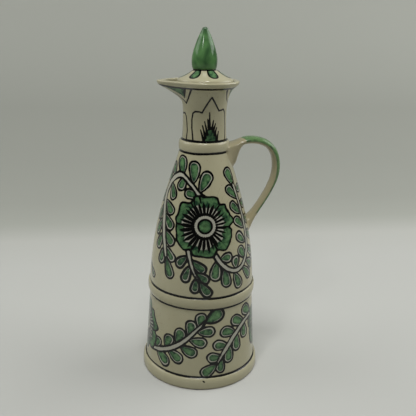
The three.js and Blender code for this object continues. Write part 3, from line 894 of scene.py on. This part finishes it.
def flower_ink(tree):
    """Distance to the ring round the eye and to the rays, which swell and taper outward."""
    stored = add(tree, "Attribute", {"attribute_name": "flower"}).outputs["Vector"]
    place = add(tree, "SeparateXYZ", Vector=stored).outputs
    flat = add(tree, "VectorMath", {"operation": "MULTIPLY"}, i0=stored, i1=(1, 1, 0)).outputs[0]
    rho = add(tree, "VectorMath", {"operation": "LENGTH"}, i0=flat).outputs["Value"]
    facing = add(tree, "VectorMath", {"operation": "NORMALIZE"}, i0=flat).outputs[0]
    unsteady = add(tree, "TexNoise", Vector=facing, Scale=3.0, Detail=2.0).outputs["Fac"]
    theta = add(tree, "Math", {"operation": "ARCTAN2"}, i0=place["Y"], i1=place["X"]).outputs[0]
    per_turn = RAYS / (2 * math.pi)
    turns = add(tree, "Math", {"operation": "MULTIPLY_ADD"}, i0=theta, i1=per_turn, i2=unsteady).outputs[0]
    from_ray = add(tree, "Math", {"operation": "PINGPONG"}, i0=turns, i1=0.5).outputs[0]
    spacing = add(tree, "Math", {"operation": "MULTIPLY"}, i0=rho, i1=2 * math.pi / RAYS).outputs[0]
    away = add(tree, "Math", {"operation": "MULTIPLY"}, i0=from_ray, i1=spacing).outputs[0]

    toward = (math.cos(RAYS_TOWARD), math.sin(RAYS_TOWARD), 0)
    lean = add(tree, "VectorMath", {"operation": "DOT_PRODUCT"}, i0=facing, i1=toward).outputs["Value"]
    further = add(
        tree, "MapRange", Value=rho, From_Min=RAYS_START, From_Max=RAY_REACH, To_Max=RAYS_LEAN,
    ).outputs[0]
    reach = add(tree, "Math", {"operation": "MULTIPLY_ADD"}, i0=lean, i1=further, i2=1.0).outputs[0]
    share = add(tree, "Math", {"operation": "DIVIDE"}, i0=rho, i1=reach).outputs[0]
    share = add(tree, "Math", {"operation": "DIVIDE"}, i0=share, i1=RAY_REACH).outputs[0]
    widths = add(tree, "ValToRGB", Fac=share)
    ramp = widths.color_ramp.elements
    for number, (at, half) in enumerate(RAY_WIDTHS):
        stop = ramp[number] if number < 2 else ramp.new(at / RAY_REACH)
        stop.position = at / RAY_REACH
        stop.color = (half, half, half, 1)
    side = add(tree, "SeparateXYZ", Vector=facing).outputs["X"]
    pressed = add(tree, "TexNoise", Vector=facing, Scale=7.0, Detail=0.0).outputs["Fac"]
    loaded = add(
        tree, "Math", {"operation": "MULTIPLY_ADD"}, i0=side, i1=LESS_TO_THE_RIGHT, i2=LOADED,
    ).outputs[0]
    loaded = add(
        tree, "Math", {"operation": "MULTIPLY_ADD"}, i0=pressed, i1=FROM_RAY_TO_RAY, i2=loaded,
    ).outputs[0]
    half = add(tree, "Math", {"operation": "MULTIPLY"}, i0=widths.outputs["Color"], i1=loaded).outputs[0]
    rays = add(tree, "Math", {"operation": "SUBTRACT"}, i0=away, i1=half).outputs[0]

    from_ring = add(tree, "Math", {"operation": "SUBTRACT"}, i0=rho, i1=EYE + RING_OUT).outputs[0]
    ring = add(tree, "Math", {"operation": "ABSOLUTE"}, i0=from_ring).outputs[0]
    ring = add(tree, "Math", {"operation": "SUBTRACT"}, i0=ring, i1=RING_HALF).outputs[0]
    ink = add(tree, "Math", {"operation": "MINIMUM"}, i0=rays, i1=ring).outputs[0]
    elsewhere = add(tree, "Math", {"operation": "MULTIPLY_ADD"}, i0=place["Z"], i1=-FAR, i2=FAR).outputs[0]
    return add(tree, "Math", {"operation": "ADD"}, i0=ink, i1=elsewhere).outputs[0]


# %% Where each colour lies
HAND_SWAY = 0.7  # how far an edge wanders from side to side, in millimetres
LINE_RANGE = (0.8 * INK_HALF, 1.2 * INK_HALF)  # the black line thins and swells with the brush's pressure
GROUND_EDGE, INK_EDGE = 0.1, 0.13  # half the width over which each colour fades out


def brushed(tree, place, green_edge):
    """The cover of the white ground, the green wash and the black, and the depth inside the green."""
    hand = add(tree, "TexNoise", Vector=place, Scale=per_mm(2.6), Detail=2.0).outputs["Fac"]
    sway = add(
        tree, "Math", {"operation": "MULTIPLY_ADD"}, i0=hand, i1=HAND_SWAY, i2=-HAND_SWAY / 2,
    ).outputs[0]
    stored = {name: add(tree, "Attribute", {"attribute_name": name}).outputs["Fac"]
              for name in ("outline", "ink", "green")}
    edge = add(tree, "Math", {"operation": "ADD"}, i0=stored["outline"], i1=sway).outputs[0]
    depth = add(tree, "Math", {"operation": "ADD"}, i0=stored["green"], i1=sway).outputs[0]
    pressure = add(tree, "TexNoise", Vector=place, Scale=per_mm(7), Detail=1.0).outputs["Fac"]
    half = add(
        tree, "MapRange", Value=pressure, From_Min=0.3, From_Max=0.7,
        To_Min=LINE_RANGE[0], To_Max=LINE_RANGE[1],
    ).outputs[0]
    line = add(tree, "Math", {"operation": "ABSOLUTE"}, i0=edge).outputs[0]
    line = add(tree, "Math", {"operation": "SUBTRACT"}, i0=line, i1=half).outputs[0]
    slight = add(tree, "Math", {"operation": "MULTIPLY_ADD"}, i0=sway, i1=0.4, i2=stored["ink"]).outputs[0]
    ink = add(tree, "Math", {"operation": "MINIMUM"}, i0=line, i1=slight).outputs[0]
    ink = add(tree, "Math", {"operation": "MINIMUM"}, i0=ink, i1=flower_ink(tree)).outputs[0]
    covers = [
        add(
            tree, "MapRange", {"interpolation_type": "SMOOTHSTEP"},
            Value=distance, From_Min=softness, From_Max=-softness,
        ).outputs[0]
        for distance, softness in ((edge, GROUND_EDGE), (depth, green_edge), (ink, INK_EDGE))
    ]
    return *covers, depth


# %% The slip and the green
CREAM, GREEN = ("#aba78d", "#a09b7d"), ("#5d8356", "#1b3526")  # from thin to thick
WHITE_SLIP, IRON, BLACK, BARE_CLAY = "#a3a294", "#7d6c4e", "#070807", "#a58a6b"
GRIT = 0.9  # iron specks are finer than this in life, and are drawn as large as the render can show
POOLED_FROM, POOLED_AT = -2.2, 0.2  # the green thickens over this distance toward its edge
THIN_TO_THICK = (0.36, 0.84)  # the tones between which the green goes from its thin to its thick colour


def slip_coat(tree, place, slips, ground):
    """Cream with faint clouds and iron specks, and whiter where a shape was laid in."""
    clouds = add(tree, "TexNoise", Vector=place, Scale=per_mm(18), Detail=4.0).outputs["Fac"]
    thin, thick = [colour(hex_code) for hex_code in slips]
    slip = add(tree, "Mix", {"data_type": "RGBA"}, i0=clouds, i6=thin, i7=thick).outputs[2]
    slip = add(tree, "Mix", {"data_type": "RGBA"}, i0=ground, i6=slip, i7=colour(WHITE_SLIP)).outputs[2]
    grit = add(tree, "TexNoise", Vector=place, Scale=per_mm(GRIT), Detail=1.0).outputs["Fac"]
    specks = add(tree, "MapRange", Value=grit, From_Min=0.74, From_Max=0.8).outputs[0]
    return add(tree, "Mix", {"data_type": "RGBA"}, i0=specks, i6=slip, i7=colour(IRON)).outputs[2]


def green_wash(tree, place, washes, depth, blotch, pooling):
    """Green in blotches of some size, darker where it pooled at its edge."""
    brush = add(
        tree, "TexNoise", Vector=place, Scale=per_mm(blotch), Detail=3.0, Distortion=0.6,
    ).outputs["Fac"]
    pooled = add(tree, "MapRange", Value=depth, From_Min=POOLED_FROM, From_Max=POOLED_AT).outputs[0]
    tone = add(tree, "Math", {"operation": "MULTIPLY_ADD"}, i0=pooled, i1=pooling, i2=brush).outputs[0]
    greens = add(tree, "ValToRGB", Fac=tone)
    for stop, position, hex_code in zip(greens.color_ramp.elements, THIN_TO_THICK, washes):
        stop.position = position
        stop.color = colour(hex_code)
    return greens.outputs["Color"]


# %% Painted earthenware under a clear glaze
WIPED_TO, GLAZED_FROM = 0.4, 0.7  # the foot is bare up to here, and all glazed from here, in millimetres
CLEAR_GLAZE_IOR = 1.37  # such a glaze is nearer 1.5, but the photograph shows less shine than that gives
WET, BARE = (0.08, 0.18), 0.8  # roughness of the glaze from place to place, and of the bare clay
PEEL_SIZE, PEEL_DEPTH = 6, 0.25  # the soft orange-peel skin, in millimetres


def painted_glaze(
    name, slips=CREAM, washes=GREEN, strength=1.0, blotch=3.0, green_edge=0.2, pooling=0.35,
):
    """Cream slip, green of some strength in blotches of some size, black, and a clear glossy glaze."""
    material = bpy.data.materials.new(name)
    material.use_nodes = True
    tree = material.node_tree
    shader = tree.nodes["Principled BSDF"]
    place = add(tree, "TexCoord").outputs["Object"]
    ground, wash, ink, depth = brushed(tree, place, green_edge)
    slip = slip_coat(tree, place, slips, ground)
    green = green_wash(tree, place, washes, depth, blotch, pooling)
    wash = add(tree, "Math", {"operation": "MULTIPLY"}, i0=wash, i1=strength).outputs[0]

    painted = add(tree, "Mix", {"data_type": "RGBA"}, i0=wash, i6=slip, i7=green).outputs[2]
    painted = add(tree, "Mix", {"data_type": "RGBA"}, i0=ink, i6=painted, i7=colour(BLACK)).outputs[2]
    height = add(tree, "SeparateXYZ", Vector=place).outputs["Z"]
    wiped = add(
        tree, "MapRange", Value=height, From_Min=GLAZED_FROM * MM, From_Max=WIPED_TO * MM,
    ).outputs[0]
    skin = add(tree, "Mix", {"data_type": "RGBA"}, i0=wiped, i6=painted, i7=colour(BARE_CLAY)).outputs[2]
    tree.links.new(skin, shader.inputs["Base Color"])

    shader.inputs["IOR"].default_value = CLEAR_GLAZE_IOR
    worn = add(tree, "TexNoise", Vector=place, Scale=per_mm(30), Detail=2.0).outputs["Fac"]
    gloss = add(
        tree, "MapRange", Value=worn, From_Min=0.3, From_Max=0.7, To_Min=WET[0], To_Max=WET[1],
    ).outputs[0]
    rough = add(tree, "Mix", i0=wiped, i2=gloss, i3=BARE).outputs[0]
    tree.links.new(rough, shader.inputs["Roughness"])

    peel = add(tree, "TexNoise", Vector=place, Scale=per_mm(PEEL_SIZE), Detail=1.0).outputs["Fac"]
    wave = add(tree, "Bump", Strength=0.25, Distance=PEEL_DEPTH * MM, Height=peel).outputs["Normal"]
    tree.links.new(wave, shader.inputs["Normal"])
    return material


# %% Three wares from one glaze
DIPPED = ("#557f4b", "#183522")
# Browner than the body's cream for a thin slip, and a little darker as painted shade on the strap.
THIN_SLIP_AND_SHADE = ("#a8a184", "#9a9172")

# Brushed: flat cream and crisp washes of green between black lines, under a wet shine.
brushed_ware = painted_glaze("glazed earthenware, cream slip with green and black underglaze")
# Dipped: one even coat of green with broad soft clouds, as glaze runs when a piece is pulled out of it.
dipped_ware = painted_glaze("glazed earthenware, dipped in green", washes=DIPPED, blotch=10.0)
# Pulled: the clay's warmth shows through a thin slip, darkened a little as painted shade for the strap's
# shaded faces, and the green ends in a soft edge.
pulled_ware = painted_glaze(
    "glazed earthenware, thin slip and thin green", slips=THIN_SLIP_AND_SHADE, washes=DIPPED,
    strength=0.9, green_edge=0.8, pooling=0.12,
)
for piece in (body, neck, lid, knob, handle):
    piece.data.materials.clear()
    piece.data.materials.append({knob: dipped_ware, handle: pulled_ware}.get(piece, brushed_ware))
    print(piece.name, "is", piece.data.materials[0].name)

# %% [markdown]
# ## Setting the pieces in the frame
#
# Each skin stands for its solid and moves with it: the lid and its knob lift together.

# %% Riding and replacing
JUG_PIECES = {"jug_body": body, "neck_with_pouring_lip": neck, "strap_handle": handle}
LID_PIECES = {"lid": lid, "lid_knob": knob}
for carrier, pieces in (("jug", JUG_PIECES), ("lid", LID_PIECES)):
    for node_name, piece in pieces.items():
        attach(piece, carrier)
        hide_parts(node_name)

# %% [markdown]
# ## The stage
#
# The jug stands on a pale sheet that sweeps up behind it. The sheet is one plane, with its far edge
# drawn up into a wall and the fold rounded.

# %% Floor and backdrop
FLOOR_NEAR, FLOOR_FAR, SWEEP_WIDTH, WALL_HEIGHT = -1.6, 0.75, 5.0, 2.2
FOLD_WIDTH, FOLD_SEGMENTS = 0.45, 24

bpy.ops.object.select_all(action="DESELECT")
bpy.ops.mesh.primitive_plane_add(size=1)
floor = bpy.context.object
floor.name = "pale_sweep"
bpy.ops.object.mode_set(mode="EDIT")
bpy.ops.transform.resize(value=(SWEEP_WIDTH, FLOOR_FAR - FLOOR_NEAR, 1))
bpy.ops.transform.translate(value=(0, (FLOOR_FAR + FLOOR_NEAR) / 2, 0))
bpy.ops.mesh.select_all(action="DESELECT")
sheet_mesh = bmesh.from_edit_mesh(floor.data)
for edge in sheet_mesh.edges:
    edge.select_set(all(v.co.y > FLOOR_FAR - 0.01 for v in edge.verts))
bmesh.update_edit_mesh(floor.data)
bpy.ops.mesh.extrude_region_move(TRANSFORM_OT_translate={"value": (0, 0, WALL_HEIGHT)})
bpy.ops.object.mode_set(mode="OBJECT")
fold = floor.modifiers.new("fold", "BEVEL")
fold.width = FOLD_WIDTH
fold.segments = FOLD_SEGMENTS
fold.limit_method = "ANGLE"
bpy.ops.object.modifier_apply(modifier=fold.name)
bpy.ops.object.shade_smooth()
print("the sheet has", len(floor.data.polygons), "faces")

# %% Matt paper, which takes a soft shadow and no shine, with painted shade that turns it greyer where it begins to rise and lighter again up the wall
# Painted shade: the tints darken through the fold and lighten again up the wall, standing in for how the
# light falls on the sweep.
TINTS_AND_SHADE = (  # how far behind the jug in metres, and the colour there
    (0.2, "#b6b7b2"), (0.28, "#b3b4ae"), (0.34, "#a0a29a"), (0.4, "#999b93"),
    (0.5, "#95978f"), (0.6, "#94968e"), (0.72, "#a6a8a0"),
)
FADE_START, FADE_END = TINTS_AND_SHADE[0][0], TINTS_AND_SHADE[-1][0]

paper = bpy.data.materials.new("pale matt paper")
paper.use_nodes = True
tree = paper.node_tree
along = add(tree, "SeparateXYZ", Vector=add(tree, "TexCoord").outputs["Object"]).outputs["Y"]
fade = add(tree, "MapRange", Value=along, From_Min=FADE_START, From_Max=FADE_END).outputs[0]
tint = add(tree, "ValToRGB", Fac=fade)
for number, (place, hex_code) in enumerate(TINTS_AND_SHADE):
    share = (place - FADE_START) / (FADE_END - FADE_START)
    stop = tint.color_ramp.elements[number] if number < 2 else tint.color_ramp.elements.new(share)
    stop.position = share
    stop.color = colour(hex_code)
tree.links.new(tint.outputs["Color"], tree.nodes["Principled BSDF"].inputs["Base Color"])
tree.nodes["Principled BSDF"].inputs["Roughness"].default_value = 0.9
floor.data.materials.append(paper)


# %% Soft light
def softbox(name, place, aim, size, power):
    """A rectangle of light at a place, turned to face its aim."""
    lamp = bpy.data.lights.new(name, "AREA")
    lamp.shape = "RECTANGLE"
    lamp.size, lamp.size_y = size
    lamp.energy = power
    holder = bpy.data.objects.new(name, lamp)
    bpy.context.collection.objects.link(holder)
    holder.location = place
    holder.rotation_euler = (Vector(aim) - Vector(place)).to_track_quat("-Z", "Y").to_euler()


softbox("left softbox", (-1.1, 0.35, 0.95), (0, 0, 0.12), (1.3, 0.8), 8.4)
softbox("right softbox", (1.1, 0.1, 0.95), (0, 0, 0.12), (1.3, 0.8), 12)
softbox("overhead softbox", (-0.08, -0.35, 1.35), (0, 0, 0.1), (0.45, 0.3), 9)
softbox("front lamp", (-0.4, -0.6, 0.85), (0, 0, 0.2), (0.08, 0.14), 1.2)

# %% What the room adds from all round
ROOM_GREY, ROOM_STRENGTH = "#b8bab5", 0.12

world = bpy.data.worlds.new("grey room")
world.use_nodes = True
world.node_tree.nodes["Background"].inputs["Color"].default_value = colour(ROOM_GREY)
world.node_tree.nodes["Background"].inputs["Strength"].default_value = ROOM_STRENGTH
bpy.context.scene.world = world

# %% [markdown]
# ## The camera
#
# The photograph looks down a little, from close by, and a touch from the lip's side. The painted rings
# are circles, so their flattening in the picture gives the camera's height and distance.

# %% Camera
CAMERA_AWAY, CAMERA_HEIGHT = 0.4354, 0.2725  # metres from the axis, and over the floor
LOOK_DOWN, SIDE_VIEW, LOOK_RIGHT, LEAN = (math.radians(a) for a in (18.08, 8.0, 0.53, 1.37))
FRAME_WIDTH, FOCAL_PIXELS, SENSOR = 416, 600, 36.0

camera_data = bpy.data.cameras.new("camera")
camera_data.sensor_width = SENSOR
camera_data.lens = FOCAL_PIXELS / FRAME_WIDTH * SENSOR
camera = bpy.data.objects.new("camera", camera_data)
bpy.context.collection.objects.link(camera)
stand = Vector((-CAMERA_AWAY * math.sin(SIDE_VIEW), -CAMERA_AWAY * math.cos(SIDE_VIEW), CAMERA_HEIGHT))
aim = (
    Matrix.Rotation(-SIDE_VIEW - LOOK_RIGHT, 4, "Z")
    @ Matrix.Rotation(math.pi / 2 - LOOK_DOWN, 4, "X")
    @ Matrix.Rotation(LEAN, 4, "Z")
)
camera.matrix_world = Matrix.Translation(stand) @ aim
bpy.context.scene.camera = camera
print("the camera's lens is", round(camera_data.lens, 1), "mm")
bpy.context.scene.view_settings.view_transform = "Standard"
